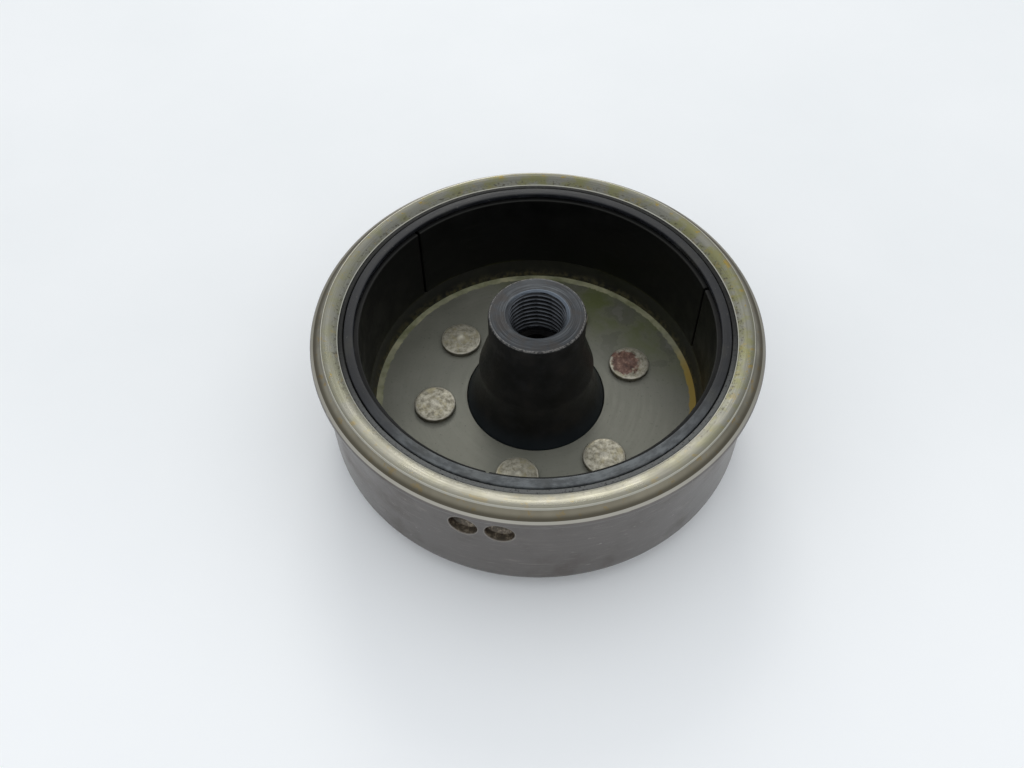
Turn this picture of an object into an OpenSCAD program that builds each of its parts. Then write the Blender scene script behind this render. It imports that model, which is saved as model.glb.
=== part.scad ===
// Magneto flywheel of a small engine: a riveted steel drum lined with arc magnets.
// Millimetres, +Z up. The origin is on the axis, in the plane of the hub's back face.

/* [Show] */
// sub-part to show, or "all"

/* [Drum] */
// outside radius of the drum's wall
drum_r = 55.6; // [54.5:0.1:70]
// outside radius of the rim's lip
rim_r = 57.3; // [56:0.1:72]
// radius of the turned inside wall, behind the magnets
wall_r = 50.1; // [44:0.1:63]
// height of the drum's underside above the hub's back face
under_z = 3.2; // [1:0.1:8]
// height of the drum's floor inside
floor_z = 6.6; // [4:0.1:12]
// radius of the rounded outside foot
foot_r = 4.4; // [1:0.1:6]
// height of the rim's crown
crown_z = 38.2; // [25:0.1:60]
// radius of the step between the crown and the cove
crown_r = 54.3; // [52:0.1:56]
// drop of the crown towards the magnets
crown_drop = 0.9; // [0.2:0.1:2]
// radius of the cove outside the crown
cove_r = 2.8; // [2.6:0.1:4]
// height of the rim's outer edge, outside the cove
edge_z = 36.1; // [35:0.1:37]
// rounding of that edge
edge_r = 0.8; // [0.3:0.05:1]
// height of the lip's underside
lip_z = 34.5; // [32:0.1:35]

/* [Balance drillings] */
// radius of a balance drilling
drill_r = 3.5; // [2:0.1:5]
// depth of its straight wall, in from the drum's outside
drill_depth = 2; // [1:0.1:3]
// height of the drillings' axes
drill_z = 27.6; // [15:0.1:30]
// azimuth of the first drilling, degrees
drill_angle = 253.2; // [0:0.1:360]
// azimuth step to the next drilling, degrees
drill_step = 9; // [8:0.1:60]
// number of drillings
drill_count = 2; // [1:1:6]

/* [Magnets] */
// radius of the magnets' inside faces
magnet_r = 45; // [40:0.1:60]
// height of the magnets' lower faces
magnet_low_z = 12.1; // [8:0.1:20]
// height of the magnets' upper faces
magnet_top_z = 36.3; // [20:0.1:58]
// gap between two magnets at their inside faces
magnet_gap = 0.6; // [0.2:0.1:3]
// azimuth of the first gap, degrees
gap_angle = 16.5; // [0:0.5:120]
// number of magnets
magnet_count = 3; // [2:1:6]

/* [Rings] */
// inside radius of the seat ring at its foot
seat_foot_r = 44.1; // [38:0.1:60]
// inside radius of the seat ring at its top
seat_top_r = 45.6; // [38.5:0.1:61]
// height of the seat ring's upright toe
seat_toe = 0.5; // [0.2:0.1:2]
// inside radius of the retaining ring
retain_in_r = 46.2; // [40:0.1:60]
// outside radius of the retaining ring
retain_out_r = 48.6; // [42:0.1:62]
// height of the retaining ring's top
retain_z = 37.7; // [21:0.1:60]
// inside radius of the seal ring
seal_in_r = 48.85; // [48.7:0.05:49.6]
// height of the seal ring's top
seal_z = 37.4; // [21:0.1:60]

/* [Hub] */
// height of the boss
boss_z = 40.1; // [30:0.1:70]
// radius of the boss at its top
boss_r = 12.4; // [10.5:0.1:20]
// height where the boss's upper taper begins
neck_z = 30.2; // [22:0.1:50]
// radius of the shoulder below the upper taper
shoulder_r = 15.2; // [12:0.1:25]
// height of the shoulder's upper edge
shoulder_z = 20.8; // [15:0.1:40]
// height where the lower flare begins
flare_z = 19; // [12:0.1:38]
// radius of the boss where it leaves the drum's floor
spigot_r = 18.8; // [15:0.1:30]
// clearance between that spigot and the drum's hole
spigot_gap = 0.2; // [0.05:0.05:0.5]
// radius of the back flange
flange_r = 35; // [33:0.5:45]
// thickness of the back flange
flange_t = 4; // [3:0.1:8]
// chamfer of the hub's outside edges
hub_edge = 0.45; // [0.2:0.05:1]

/* [Bore] */
// radius of the shaft taper at the hub's back face
taper_r = 9; // [7:0.1:12]
// length of the shaft taper
taper_l = 21.5; // [15:0.5:30]
// length over which the taper's diameter grows by 1
taper_ratio = 5; // [4:0.5:12]
// radius of the hole for the shaft bolt
bolt_r = 5.4; // [4:0.1:6.5]
// height of the shaft bolt's seat
bolt_seat_z = 25.5; // [20:0.1:40]
// minor radius of the puller thread, M16 x 1.5
puller_r = 7.19; // [6:0.01:9]
// radius of the thread's chamfered mouth
mouth_r = 8.05; // [7:0.05:10]
// width of the keyway
key_w = 4; // [3:0.5:6]
// height of the keyway's floor above the axis
key_h = 10.6; // [8:0.1:14]
// length of the keyway, from the hub's back face
key_l = 19; // [10:0.5:21]
// azimuth of the keyway, degrees
key_angle = 106; // [0:1:360]

/* [Rivets] */
// radius of the rivets' pitch circle
pitch_r = 28; // [24:0.1:40]
// radius of a rivet's head
head_r = 5.7; // [4:0.1:8]
// height of a rivet's head above the drum's floor
head_h = 1.7; // [0.8:0.1:4]
// radius of a rivet's shank
shank_r = 3; // [2:0.1:4]
// radius of the closing head in the back flange
tail_r = 5; // [3.5:0.1:6]
// depth of the closing head below the flange's back face
tail_z = 0.2; // [0.1:0.1:1]
// azimuth of the first pair's middle, degrees
pair_angle = 46; // [0:1:120]
// azimuth between the two rivets of a pair, degrees
pair_spread = 50; // [30:1:60]
// number of pairs
pair_count = 3; // [2:1:4]

/* [Hidden] */
$fn = 120;
cut = 1;
rivet_count = 2 * pair_count;
head_edge = 0.3;
mark_r = 0.9;
mark_depth = 0.1;
ring_edge = 0.3;
crown_arc_r = (pow(crown_r - wall_r, 2) + pow(crown_drop, 2)) / (2 * crown_drop);
crest_r = rim_r - edge_r;
cove_x = crest_r + 0.5;
cove_z = edge_z + sqrt(pow(cove_r, 2) - pow(cove_x - crest_r, 2));
drill_cone = drill_r * tan(31);
register_z = flange_t;
spigot_hole_r = spigot_r + spigot_gap;
seat_rise = magnet_low_z - floor_z - seat_toe;
seat_run = seat_top_r - seat_foot_r;
seat_arc_r = (pow(seat_run, 2) + pow(seat_rise, 2)) / (2 * seat_run);
gap_sweep = 2 * asin(magnet_gap / 2 / magnet_r);
magnet_sweep = 360 / magnet_count - gap_sweep;
flare_fall = flare_z - floor_z;
flare_run = spigot_r - shoulder_r;
flare_arc_r = (pow(flare_run, 2) + pow(flare_fall, 2)) / (2 * flare_run);
taper_top_r = taper_r - taper_l / taper_ratio / 2;
head_dome_r = 40;

function rivet_angle(i) =
    pair_angle + floor(i / 2) * 360 / pair_count + (i % 2 - 0.5) * pair_spread;

// Places its children at each rivet's axis.
module at_rivets() {
    for (i = [0 : rivet_count - 1])
        rotate([0, 0, rivet_angle(i)])
            translate([pitch_r, 0, 0])
                children();
}

// A rectangle from one corner to the opposite one.
module span(x0, z0, x1, z1) {
    translate([x0, z0])
        square([x1 - x0, z1 - z0]);
}

// The drum's outline as a solid disc, before it is bored out.
module drum_outline() {
    span(0, under_z, drum_r - foot_r, edge_z - cut);
    span(0, under_z + foot_r, drum_r, edge_z - cut);
    translate([drum_r - foot_r, under_z + foot_r])
        circle(r = foot_r);
    span(drum_r - cut, lip_z, rim_r, edge_z - edge_r);
    translate([crest_r, edge_z - edge_r])
        circle(r = edge_r);
    intersection() {
        span(wall_r - cut, lip_z, crest_r, crown_z);
        translate([crown_r, crown_z - crown_arc_r])
            circle(r = crown_arc_r);
    }
}

module drum_section() {
    difference() {
        drum_outline();
        span(-cut, floor_z, wall_r, crown_z + cut);
        span(-cut, under_z - cut, spigot_hole_r, floor_z + cut);
        span(-cut, under_z - cut, flange_r + spigot_gap, register_z);
        intersection() {
            translate([cove_x, cove_z])
                circle(r = cove_r);
            span(wall_r, edge_z - cut, crest_r, crown_z + cut);
        }
    }
}

// A blind balance drilling with the drill's cone at its bottom, pointing out along +X.
module drilling() {
    translate([drum_r - drill_depth, 0, drill_z])
        rotate([0, 90, 0])
            rotate_extrude()
                polygon([
                    [0, -drill_cone],
                    [drill_r, 0],
                    [drill_r, drill_depth + cut],
                    [0, drill_depth + cut]
                ]);
}

module rotor_cup() {
    color([0.52, 0.50, 0.48])
        difference() {
            rotate_extrude()
                drum_section();
            at_rivets()
                cylinder(r = shank_r, h = floor_z + cut);
            for (i = [0 : drill_count - 1])
                rotate([0, 0, drill_angle + i * drill_step])
                    drilling();
        }
}

// The hub's outside: flange, spigot, lower flare, shoulder, upper taper and neck.
module hub_outline() {
    difference() {
        union() {
            polygon([
                [0, 0],
                [flange_r - hub_edge, 0],
                [flange_r, hub_edge],
                [flange_r, flange_t - hub_edge],
                [flange_r - hub_edge, flange_t],
                [spigot_r, flange_t],
                [spigot_r, flare_z],
                [0, flare_z]
            ]);
            polygon([
                [0, flange_t],
                [shoulder_r, flare_z - cut],
                [shoulder_r, shoulder_z],
                [boss_r, neck_z],
                [boss_r, boss_z - hub_edge],
                [boss_r - hub_edge, boss_z],
                [0, boss_z]
            ]);
        }
        intersection() {
            translate([shoulder_r + flare_arc_r, flare_z])
                circle(r = flare_arc_r);
            span(shoulder_r, flange_t + cut, flange_r, flare_z + cut);
        }
    }
}

// The hole down the axis: shaft taper, bolt hole, bolt seat and the puller thread's tapping hole.
module bore_section() {
    polygon([
        [-cut, -cut],
        [taper_r + 0.6 + cut, -cut],
        [taper_r - 0.06, 0.6],
        [taper_top_r, taper_l],
        [bolt_r, taper_l],
        [bolt_r, bolt_seat_z],
        [puller_r, bolt_seat_z],
        [puller_r, boss_z - mouth_r + puller_r],
        [mouth_r, boss_z],
        [mouth_r + cut, boss_z + cut],
        [-cut, boss_z + cut]
    ]);
}

module hub() {
    color([0.13, 0.14, 0.17])
        difference() {
            rotate_extrude()
                hub_outline();
            rotate_extrude()
                intersection() {
                    bore_section();
                    span(0, -cut, flange_r, boss_z + cut);
                }
            rotate([0, 0, key_angle])
                translate([0, -key_w / 2, -cut])
                    cube([key_h, key_w, key_l + cut]);
            at_rivets() {
                translate([0, 0, -cut])
                    cylinder(r = shank_r, h = flange_t + 2 * cut);
                rotate_extrude()
                    polygon([
                        [0, -tail_z],
                        [tail_r + 2 * tail_z, -tail_z],
                        [shank_r, tail_r - shank_r + tail_z],
                        [0, tail_r - shank_r + tail_z]
                    ]);
            }
        }
}

// A rivet's section: the closing head, the shank and the low domed head with its punch mark.
module rivet_section() {
    polygon([
        [0, tail_z],
        [tail_r, tail_z],
        [shank_r, tail_r - shank_r + tail_z],
        [shank_r, floor_z],
        [0, floor_z]
    ]);
    difference() {
        intersection() {
            polygon([
                [0, floor_z],
                [head_r - head_edge / 2, floor_z],
                [head_r, floor_z + head_edge / 2],
                [head_r, floor_z + head_h - 2 * head_edge],
                [head_r - head_edge, floor_z + head_h - head_edge],
                [0, floor_z + head_h + head_edge]
            ]);
            translate([0, floor_z + head_h - head_dome_r])
                circle(r = head_dome_r);
        }
        polygon([
            [0, floor_z + head_h - mark_depth],
            [mark_r, floor_z + head_h + 0.02],
            [mark_r, floor_z + head_h + cut],
            [0, floor_z + head_h + cut]
        ]);
    }
}

module rivet(i) {
    color([0.66, 0.63, 0.57])
        rotate([0, 0, rivet_angle(i)])
            translate([pitch_r, 0, 0])
                rotate_extrude()
                    intersection() {
                        rivet_section();
                        span(0, 0, head_r, floor_z + head_h);
                    }
}

module magnet(i) {
    color([0.09, 0.09, 0.10])
        rotate([0, 0, gap_angle + i * 360 / magnet_count + gap_sweep / 2])
            rotate_extrude(angle = magnet_sweep)
                polygon([
                    [magnet_r, magnet_low_z + ring_edge],
                    [magnet_r + ring_edge, magnet_low_z],
                    [wall_r, magnet_low_z],
                    [wall_r, magnet_top_z],
                    [magnet_r + ring_edge, magnet_top_z],
                    [magnet_r, magnet_top_z - ring_edge]
                ]);
}

module seat_ring() {
    color([0.12, 0.12, 0.11])
        rotate_extrude()
            difference() {
                span(seat_foot_r, floor_z, wall_r, magnet_low_z);
                translate([seat_top_r - seat_arc_r, magnet_low_z])
                    circle(r = seat_arc_r);
            }
}

module retaining_ring() {
    color([0.14, 0.14, 0.15])
        rotate_extrude()
            polygon([
                [retain_in_r, magnet_top_z],
                [retain_out_r, magnet_top_z],
                [retain_out_r, retain_z - ring_edge],
                [retain_out_r - ring_edge, retain_z],
                [retain_in_r + ring_edge, retain_z],
                [retain_in_r, retain_z - ring_edge]
            ]);
}

module seal_ring() {
    color([0.10, 0.10, 0.11])
        rotate_extrude()
            polygon([
                [seal_in_r, magnet_top_z],
                [wall_r, magnet_top_z],
                [wall_r, seal_z - ring_edge],
                [wall_r - ring_edge, seal_z],
                [seal_in_r + ring_edge, seal_z],
                [seal_in_r, seal_z - ring_edge]
            ]);
}

rotor_cup();
hub();
for (i = [0 : rivet_count - 1])
    rivet(i);
for (i = [0 : magnet_count - 1])
    magnet(i);
seat_ring();
retaining_ring();
seal_ring();
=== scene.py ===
# %% [markdown]
# # A magneto flywheel
#
# This lesson dresses one engine flywheel: a turned steel drum, three black magnets
# around its inside wall, a black hub with a threaded mouth, and six rivets.
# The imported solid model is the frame, and every new piece stands exactly where a
# solid of the same name stands. All sizes below are in millimetres until the last
# moment, because that is how a turner would think of them.

import math

import bpy
import numpy as np
from mathutils import Matrix, Vector


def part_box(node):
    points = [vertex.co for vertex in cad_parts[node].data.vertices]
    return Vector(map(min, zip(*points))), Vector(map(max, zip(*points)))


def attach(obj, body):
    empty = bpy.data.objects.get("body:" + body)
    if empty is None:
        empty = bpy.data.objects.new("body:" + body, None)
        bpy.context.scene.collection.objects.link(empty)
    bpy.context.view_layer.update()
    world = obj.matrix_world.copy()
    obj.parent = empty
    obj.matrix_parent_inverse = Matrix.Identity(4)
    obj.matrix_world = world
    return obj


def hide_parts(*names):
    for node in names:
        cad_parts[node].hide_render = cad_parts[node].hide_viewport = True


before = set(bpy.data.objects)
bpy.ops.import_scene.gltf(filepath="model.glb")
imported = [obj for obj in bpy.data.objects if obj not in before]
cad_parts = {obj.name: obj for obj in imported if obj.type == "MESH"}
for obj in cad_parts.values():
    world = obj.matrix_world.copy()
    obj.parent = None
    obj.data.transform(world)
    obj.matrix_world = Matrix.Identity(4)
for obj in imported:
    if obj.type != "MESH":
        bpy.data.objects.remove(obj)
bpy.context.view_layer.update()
MM = 0.001
TURN = 2 * math.pi

# %% [markdown]
# ## Read the main sizes off the solids
#
# Copying numbers from a drawing is one way to place things. Measuring the solids is
# safer, because a piece that is measured can't drift away from the part it covers.


# %% Measure the solids
def reach(node):
    """Outside radius, lowest height and highest height of a solid, in millimetres."""
    low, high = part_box(node)
    return max(high.x, -low.x, high.y, -low.y) / MM, low.z / MM, high.z / MM


RIM_R, UNDER_Z, CROWN_Z = reach("rotor_cup")
FLANGE_R, _, BOSS_Z = reach("hub")
WALL_R, FLOOR_Z, MAGNET_LOW_Z = reach("seat_ring")
MAGNET_TOP_Z = reach("magnet_1")[2]
RETAIN_R, _, RETAIN_Z = reach("retaining_ring")
SEAL_Z = reach("seal_ring")[2]
RIVET_TOP_Z = reach("rivet_1")[2]
RIM_R, FLANGE_R, RETAIN_R = (round(v, 1) for v in (RIM_R, FLANGE_R, RETAIN_R))
WALL_R = round(WALL_R, 1)
print("rim", RIM_R, "crown", round(CROWN_Z, 2), "boss", round(BOSS_Z, 2))

# %% [markdown]
# ## Profiles
#
# Almost everything here was made on a lathe, so almost every shape is a profile turned
# about the axis. A profile could be drawn as a curve and spun with a modifier. Worked
# out as an array of (radius, height) pairs it stays exact, and each row can later be
# bent, drilled or threaded. Profiles run with the metal on their left.


# %% Draw profiles
def arc(centre, radius, start, stop, count):
    """Points at centre + radius * (cos t, sin t), with t even from start to stop in degrees."""
    t = np.radians(np.linspace(start, stop, count))
    return np.stack([centre[0] + radius * np.cos(t), centre[1] + radius * np.sin(t)], 1)


def run(*parts):
    """Points and arcs joined end to end, leaving out a point that repeats the one before it."""
    points = np.concatenate([np.atleast_2d(np.array(p, float)) for p in parts])
    step = np.linalg.norm(np.diff(points, axis=0), axis=1)
    return points[np.concatenate([[True], step > 1e-6])]


def softened(points, width, steps=3):
    """Every sharp corner of a closed profile is rounded: the corner c becomes the curve
    (1-t)^2 a + 2 t (1-t) c + t^2 b between points a and b on its two sides, width away.
    A corner under 20 degrees, as on a drawn arc, is left alone."""
    before, after = np.roll(points, 1, 0) - points, np.roll(points, -1, 0) - points
    gap_a, gap_b = np.linalg.norm(before, axis=1), np.linalg.norm(after, axis=1)
    turn = np.degrees(np.arccos(np.clip(-(before * after).sum(1) / gap_a / gap_b, -1, 1)))
    out = []
    for i, c in enumerate(points):
        if turn[i] < 20:
            out.append(c[None])
            continue
        w = min(width, 0.45 * gap_a[i], 0.45 * gap_b[i])
        a, b = c + before[i] * w / gap_a[i], c + after[i] * w / gap_b[i]
        t = np.linspace(0, 1, steps + 1)[:, None]
        out.append((1 - t) ** 2 * a + 2 * t * (1 - t) * c + t**2 * b)
    return np.concatenate(out)


def divided(points, longest):
    """A closed profile whose straight runs are cut into steps no longer than the given length."""
    ends = np.roll(points, -1, 0)
    out = []
    for a, b in zip(points, ends):
        n = max(1, math.ceil(np.linalg.norm(b - a) / longest))
        out.append(a + (b - a) * (np.arange(n) / n)[:, None])
    return np.concatenate(out)


# %% [markdown]
# ## Turning a profile into a mesh
#
# Blender could spin the profile, but a lattice of rows and columns is what the later
# steps need: row i is one point of the profile, column j is one angle, and a hole is cut
# by leaving out a block of cells and filling it with another lattice that matches.


# %% Turn profiles
def turned(profile, angles):
    """Points (r cos a, r sin a, z) for each profile point (r, z) and each angle a in degrees."""
    a = np.radians(angles)[None, :]
    r, z = profile[:, :1], profile[:, 1:]
    return np.stack([r * np.cos(a), r * np.sin(a), np.broadcast_to(z, (len(z), a.shape[1]))], 2)


def cells(rows, columns, close_rows=True, close_columns=True):
    """Corner numbers of each cell, in the order (i, j), (i, j+1), (i+1, j+1), (i+1, j), which faces
    away from metal on the profile's left. A closed direction joins its last line to its first."""
    i = np.arange(rows if close_rows else rows - 1)[:, None]
    j = np.arange(columns if close_columns else columns - 1)[None, :]
    i1, j1 = (i + 1) % rows, (j + 1) % columns
    quad = [i * columns + j, i * columns + j1, i1 * columns + j1, i1 * columns + j]
    return np.stack([np.broadcast_to(q, (i.size, j.size)) for q in quad], 2)


class Shape:
    """Gathers points and faces of one piece from several lattices."""

    def __init__(self):
        self.points, self.faces, self.count = [], [], 0

    def add(self, points, faces):
        points = np.asarray(points, float).reshape(-1, 3)
        self.faces += (np.asarray(faces).reshape(-1, np.shape(faces)[-1]) + self.count).tolist()
        self.points.append(points)
        self.count += len(points)

    def fan(self, ring, tip):
        """Triangles from each side of a closed ring of points to one tip."""
        n = len(ring)
        j = np.arange(n)
        self.add(np.vstack([ring, [tip]]), np.stack([j, (j + 1) % n, np.full(n, n)], 1))


def make_piece(name, shape, nodes, crease=32):
    """A mesh object at the origin from points in millimetres. Points that coincide are merged,
    and edges that turn by more than the crease angle are kept crisp."""
    mesh = bpy.data.meshes.new(name)
    mesh.from_pydata(np.concatenate(shape.points) * MM, [], shape.faces)
    piece = bpy.data.objects.new(name, mesh)
    bpy.context.scene.collection.objects.link(piece)
    weld(mesh)
    mesh.shade_smooth()
    mesh.set_sharp_from_angle(angle=math.radians(crease))
    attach(piece, "root")
    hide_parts(*nodes)
    print(f"{name}: {len(mesh.vertices)} points, {len(mesh.polygons)} faces")
    return piece


def weld(mesh):
    """Merges points within a hundredth of a micrometre, so that lattices become one skin."""
    import bmesh

    work = bmesh.new()
    work.from_mesh(mesh)
    bmesh.ops.remove_doubles(work, verts=work.verts, dist=1e-8)
    work.to_mesh(mesh)
    work.free()
    mesh.update()


# %% [markdown]
# ## Drilling a lattice
#
# A boolean would cut a hole, but it leaves long thin triangles that shade badly on a
# curved wall. Here a square block of cells is left out around the hole, and rings of
# points lead from the square's edge to a circle and then down the hole, so the drilled
# wall stays one smooth skin.


# %% Drill
def block_rim(rows, columns):
    """Row and column numbers round the rim of a block, counterclockwise as seen from outside."""
    (r0, r1), (c0, c1) = rows, columns
    south = [(r0, c) for c in range(c0, c1)]
    east = [(r, c1) for r in range(r0, r1)]
    north = [(r1, c) for c in range(c1, c0, -1)]
    west = [(r, c0) for r in range(r1, r0, -1)]
    return np.array(south + east + north + west)


def drill(shape, lattice, rows, columns, centre, axis, rings, onto, tip, spread=4):
    """Fills a left-out block with a hole. rings are (radius, depth) pairs down the hole, tip is the
    depth of its closing point, and onto puts a point back on the surface that is drilled.
    Between the rim and the first circle, point = (1 - t) rim + t circle, laid onto the surface."""
    rim_ij = block_rim(rows, columns)
    rim = lattice[rim_ij[:, 0], rim_ij[:, 1] % lattice.shape[1]]
    axis = np.array(axis, float)
    away = rim - centre
    away -= (away @ axis)[:, None] * axis
    away /= np.linalg.norm(away, axis=1)[:, None]
    circle = onto(centre + rings[0][0] * away)
    layers = [rim]
    layers += [onto(rim * (1 - t) + circle * t) for t in np.linspace(0, 1, spread + 1)[1:-1]]
    layers.append(circle)
    for radius, depth in rings[1:]:
        flat = centre + radius * away - depth * axis
        layers.append(flat)
    n = len(rim)
    shape.add(np.stack(layers), cells(len(layers), n, close_rows=False))
    shape.fan(layers[-1], centre - tip * axis)


# %% [markdown]
# ## The drum
#
# The drum is a thick steel cup. Its foot is rounded and its wall is turned back below a
# narrow lip. Above the lip, the rim has a cove and then a slightly crowned land that slopes
# towards the magnets. Two shallow blind drillings in the wall took out metal to balance the
# drum, and each ends in the drill's cone.

# %% Drum profile
DRUM_R = 55.6
FOOT_R = 4.4
HUB_HOLE_R = 19.0
REGISTER_R = 35.2
REGISTER_Z = 4.0
LIP_Z = 34.5
EDGE_Z = 36.1
EDGE_R = 0.8
CREST_R = RIM_R - EDGE_R
CROWN_R = 54.3
CROWN_DROP = 0.9
COVE_R = 2.8
COVE_SHIFT = 0.5
COVE = (CREST_R + COVE_SHIFT, EDGE_Z + math.sqrt(COVE_R**2 - COVE_SHIFT**2))
DRILL_R = 3.5
DRILL_DEPTH = 2.0
DRILL_Z = 27.6
DRILL_ANGLES = (253.2, 262.2)
DRILL_POINT = 31  # degrees between the drill's cone and a flat bottom
CELL = 0.5
HALF_BLOCK = 8

crown_arc = ((CROWN_R - WALL_R) ** 2 + CROWN_DROP**2) / (2 * CROWN_DROP)
crown_end = math.degrees(math.acos((WALL_R - CROWN_R) / crown_arc))
cove_start = -90 - math.degrees(math.asin(COVE_SHIFT / COVE_R))
cove_end = math.degrees(math.asin((COVE[1] - CROWN_Z) / COVE_R)) - 180
block_low, block_high = DRILL_Z - HALF_BLOCK * CELL, DRILL_Z + HALF_BLOCK * CELL
block_z = np.linspace(block_low, block_high, 2 * HALF_BLOCK + 1)
outside = run(
    (REGISTER_R, REGISTER_Z),
    (REGISTER_R, UNDER_Z),
    arc((DRUM_R - FOOT_R, UNDER_Z + FOOT_R), FOOT_R, -90, 0, 13),
    np.stack([np.full(len(block_z), DRUM_R), block_z], 1),
    (DRUM_R, LIP_Z),
    arc((RIM_R - 0.25, LIP_Z + 0.25), 0.25, -90, 0, 4),
    arc((CREST_R, EDGE_Z - EDGE_R), EDGE_R, 0, 90, 8),
    arc(COVE, COVE_R, cove_start, cove_end, 16),
    arc((CROWN_R, CROWN_Z - crown_arc), crown_arc, 90.3, crown_end, 12),
)
inside = run((WALL_R, FLOOR_Z), (HUB_HOLE_R, FLOOR_Z), (HUB_HOLE_R, REGISTER_Z))
drum_profile = softened(run(outside, inside), 0.12)
drum_rows = divided(drum_profile, 4.0)
print("drum profile:", len(drum_rows), "points")


# %% Drum mesh
def on_drum_wall(points):
    """Each point is moved square to the drilled patch's middle axis until x^2 + y^2 = R^2."""
    r = np.linalg.norm(points[:, :2], axis=1)[:, None]
    return np.hstack([points[:, :2] * DRUM_R / r, points[:, 2:]])


def cover_with_blocks_left_out(shape, lattice, blocks):
    """Adds a closed lattice's cells apart from those in the (rows, columns) blocks."""
    rows, columns = lattice.shape[:2]
    faces = cells(rows, columns)
    keep = np.ones(faces.shape[:2], bool)
    for (r0, r1), (c0, c1) in blocks:
        keep[r0:r1, np.arange(c0, c1) % columns] = False
    shape.add(lattice, faces[keep])


DRUM_STEP = 0.5
drum_angles = DRILL_ANGLES[0] + np.arange(0, 360, DRUM_STEP)
drum = turned(drum_rows, drum_angles)
wall_rows = np.flatnonzero(np.abs(drum_rows[:, 0] - DRUM_R) < 1e-6)
low_row = wall_rows[np.argmin(np.abs(drum_rows[wall_rows, 1] - block_low))]
drum_blocks = []
for angle in DRILL_ANGLES:
    middle = round((angle - DRILL_ANGLES[0]) / DRUM_STEP)
    columns = (middle - HALF_BLOCK, middle + HALF_BLOCK)
    drum_blocks.append(((low_row, low_row + 2 * HALF_BLOCK), columns))
drum_shape = Shape()
cover_with_blocks_left_out(drum_shape, drum, drum_blocks)
for angle, block in zip(DRILL_ANGLES, drum_blocks):
    a = math.radians(angle)
    out = np.array([math.cos(a), math.sin(a), 0])
    mouth = DRUM_R * out + np.array([0, 0, DRILL_Z])
    cone = DRILL_R * math.tan(math.radians(DRILL_POINT))
    hole = [(DRILL_R + 0.12, 0)] + [(DRILL_R, depth) for depth in (0.26, 0.8, 1.4, DRILL_DEPTH)]
    hole += [(DRILL_R * (1 - t), DRILL_DEPTH + cone * t) for t in (0.06, 0.35, 0.7)]
    drill(drum_shape, drum, *block, mouth, out, hole, on_drum_wall, DRILL_DEPTH + cone)
rotor_drum = make_piece("rotor_drum", drum_shape, ["rotor_cup"])

# %% [markdown]
# ## The hub
#
# One forging makes the flange behind the drum's floor, the flared boss and the neck. The
# puller screw's thread is in its mouth. A thread could be faked with bump, but its crests
# catch the light, so it is real: the bore's radius follows a helix.

# %% Hub sizes
SPIGOT_R = 18.8
SHOULDER_R = 15.2
SHOULDER_Z = 20.8
FLARE_Z = 19.0
NECK_R = 12.4
NECK_Z = 30.2
HUB_EDGE = 0.45
MOUTH_R = 8.05
TAPER_R = 9.0
TAPER_L = 21.5
TAPER_TOP_R = TAPER_R - TAPER_L / 10
BOLT_R = 5.4
SEAT_Z = 25.5
PITCH = 1.5
MINOR_R = 7.19
MAJOR_R = 8.02
THREAD_END_Z = 27.6
KEY_ANGLE = 106.0
KEY_HALF = 2.0
KEY_FLOOR = 10.6
KEY_END_Z = 19.0
SINK_BAND = (22, 34)
flare_run, flare_fall = SPIGOT_R - SHOULDER_R, FLARE_Z - FLOOR_Z
FLARE_R = (flare_run**2 + flare_fall**2) / (2 * flare_run)
flare_angle = math.degrees(math.asin(flare_fall / FLARE_R))

# %% Hub profile
hub_outside = run(
    (TAPER_R + 0.55, 0),
    [(r, 0) for r in range(SINK_BAND[0], SINK_BAND[1] + 1)],
    (FLANGE_R - HUB_EDGE, 0),
    (FLANGE_R, HUB_EDGE),
    (FLANGE_R, REGISTER_Z - HUB_EDGE),
    (FLANGE_R - HUB_EDGE, REGISTER_Z),
    (SPIGOT_R, REGISTER_Z),
    arc((SHOULDER_R + FLARE_R, FLARE_Z), FLARE_R, 180 + flare_angle, 180, 18),
    (SHOULDER_R, SHOULDER_Z),
    (NECK_R, NECK_Z),
    (NECK_R, BOSS_Z - HUB_EDGE),
    (NECK_R - HUB_EDGE, BOSS_Z),
)
thread_z = np.arange(BOSS_Z, THREAD_END_Z - PITCH, -PITCH / 12)
hub_inside = run(
    np.stack([np.full(len(thread_z), MINOR_R), thread_z], 1),
    (MINOR_R, SEAT_Z),
    (BOLT_R, SEAT_Z),
    (BOLT_R, TAPER_L),
    (TAPER_TOP_R, TAPER_L),
    (TAPER_TOP_R + 0.24, KEY_END_Z + 0.01),
    (TAPER_TOP_R + 0.24, KEY_END_Z - 0.01),
    (TAPER_R - 0.06, 0.6),
)
hub_rows = np.concatenate([softened(hub_outside, 0.5, 4)[3:-3], hub_inside])
print("hub profile:", len(hub_outside), "+", len(hub_inside), "points")


# %% Thread and keyway
def thread_radius(angles, heights):
    """Radius of a right-handed internal thread. With d the distance, in pitches, from the middle of
    the nearest crest to height - pitch * turn, the radius is the minor radius for d under 1/8, the
    major radius for d over 7/16, and straight in between. It fades to the minor radius at the end,
    and opens in a 45 degree cone at the mouth."""
    phase = (heights[:, None] / PITCH - angles[None, :] / 360) % 1
    d = np.abs(phase - 0.5)
    depth = np.clip((d - 0.125) / 0.3125, 0, 1)
    fade = np.clip((heights[:, None] - THREAD_END_Z) / PITCH + 1, 0, 1)
    cone = MOUTH_R - (BOSS_Z - heights[:, None])
    return np.maximum(MINOR_R + (MAJOR_R - MINOR_R) * depth * fade, cone)


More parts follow.
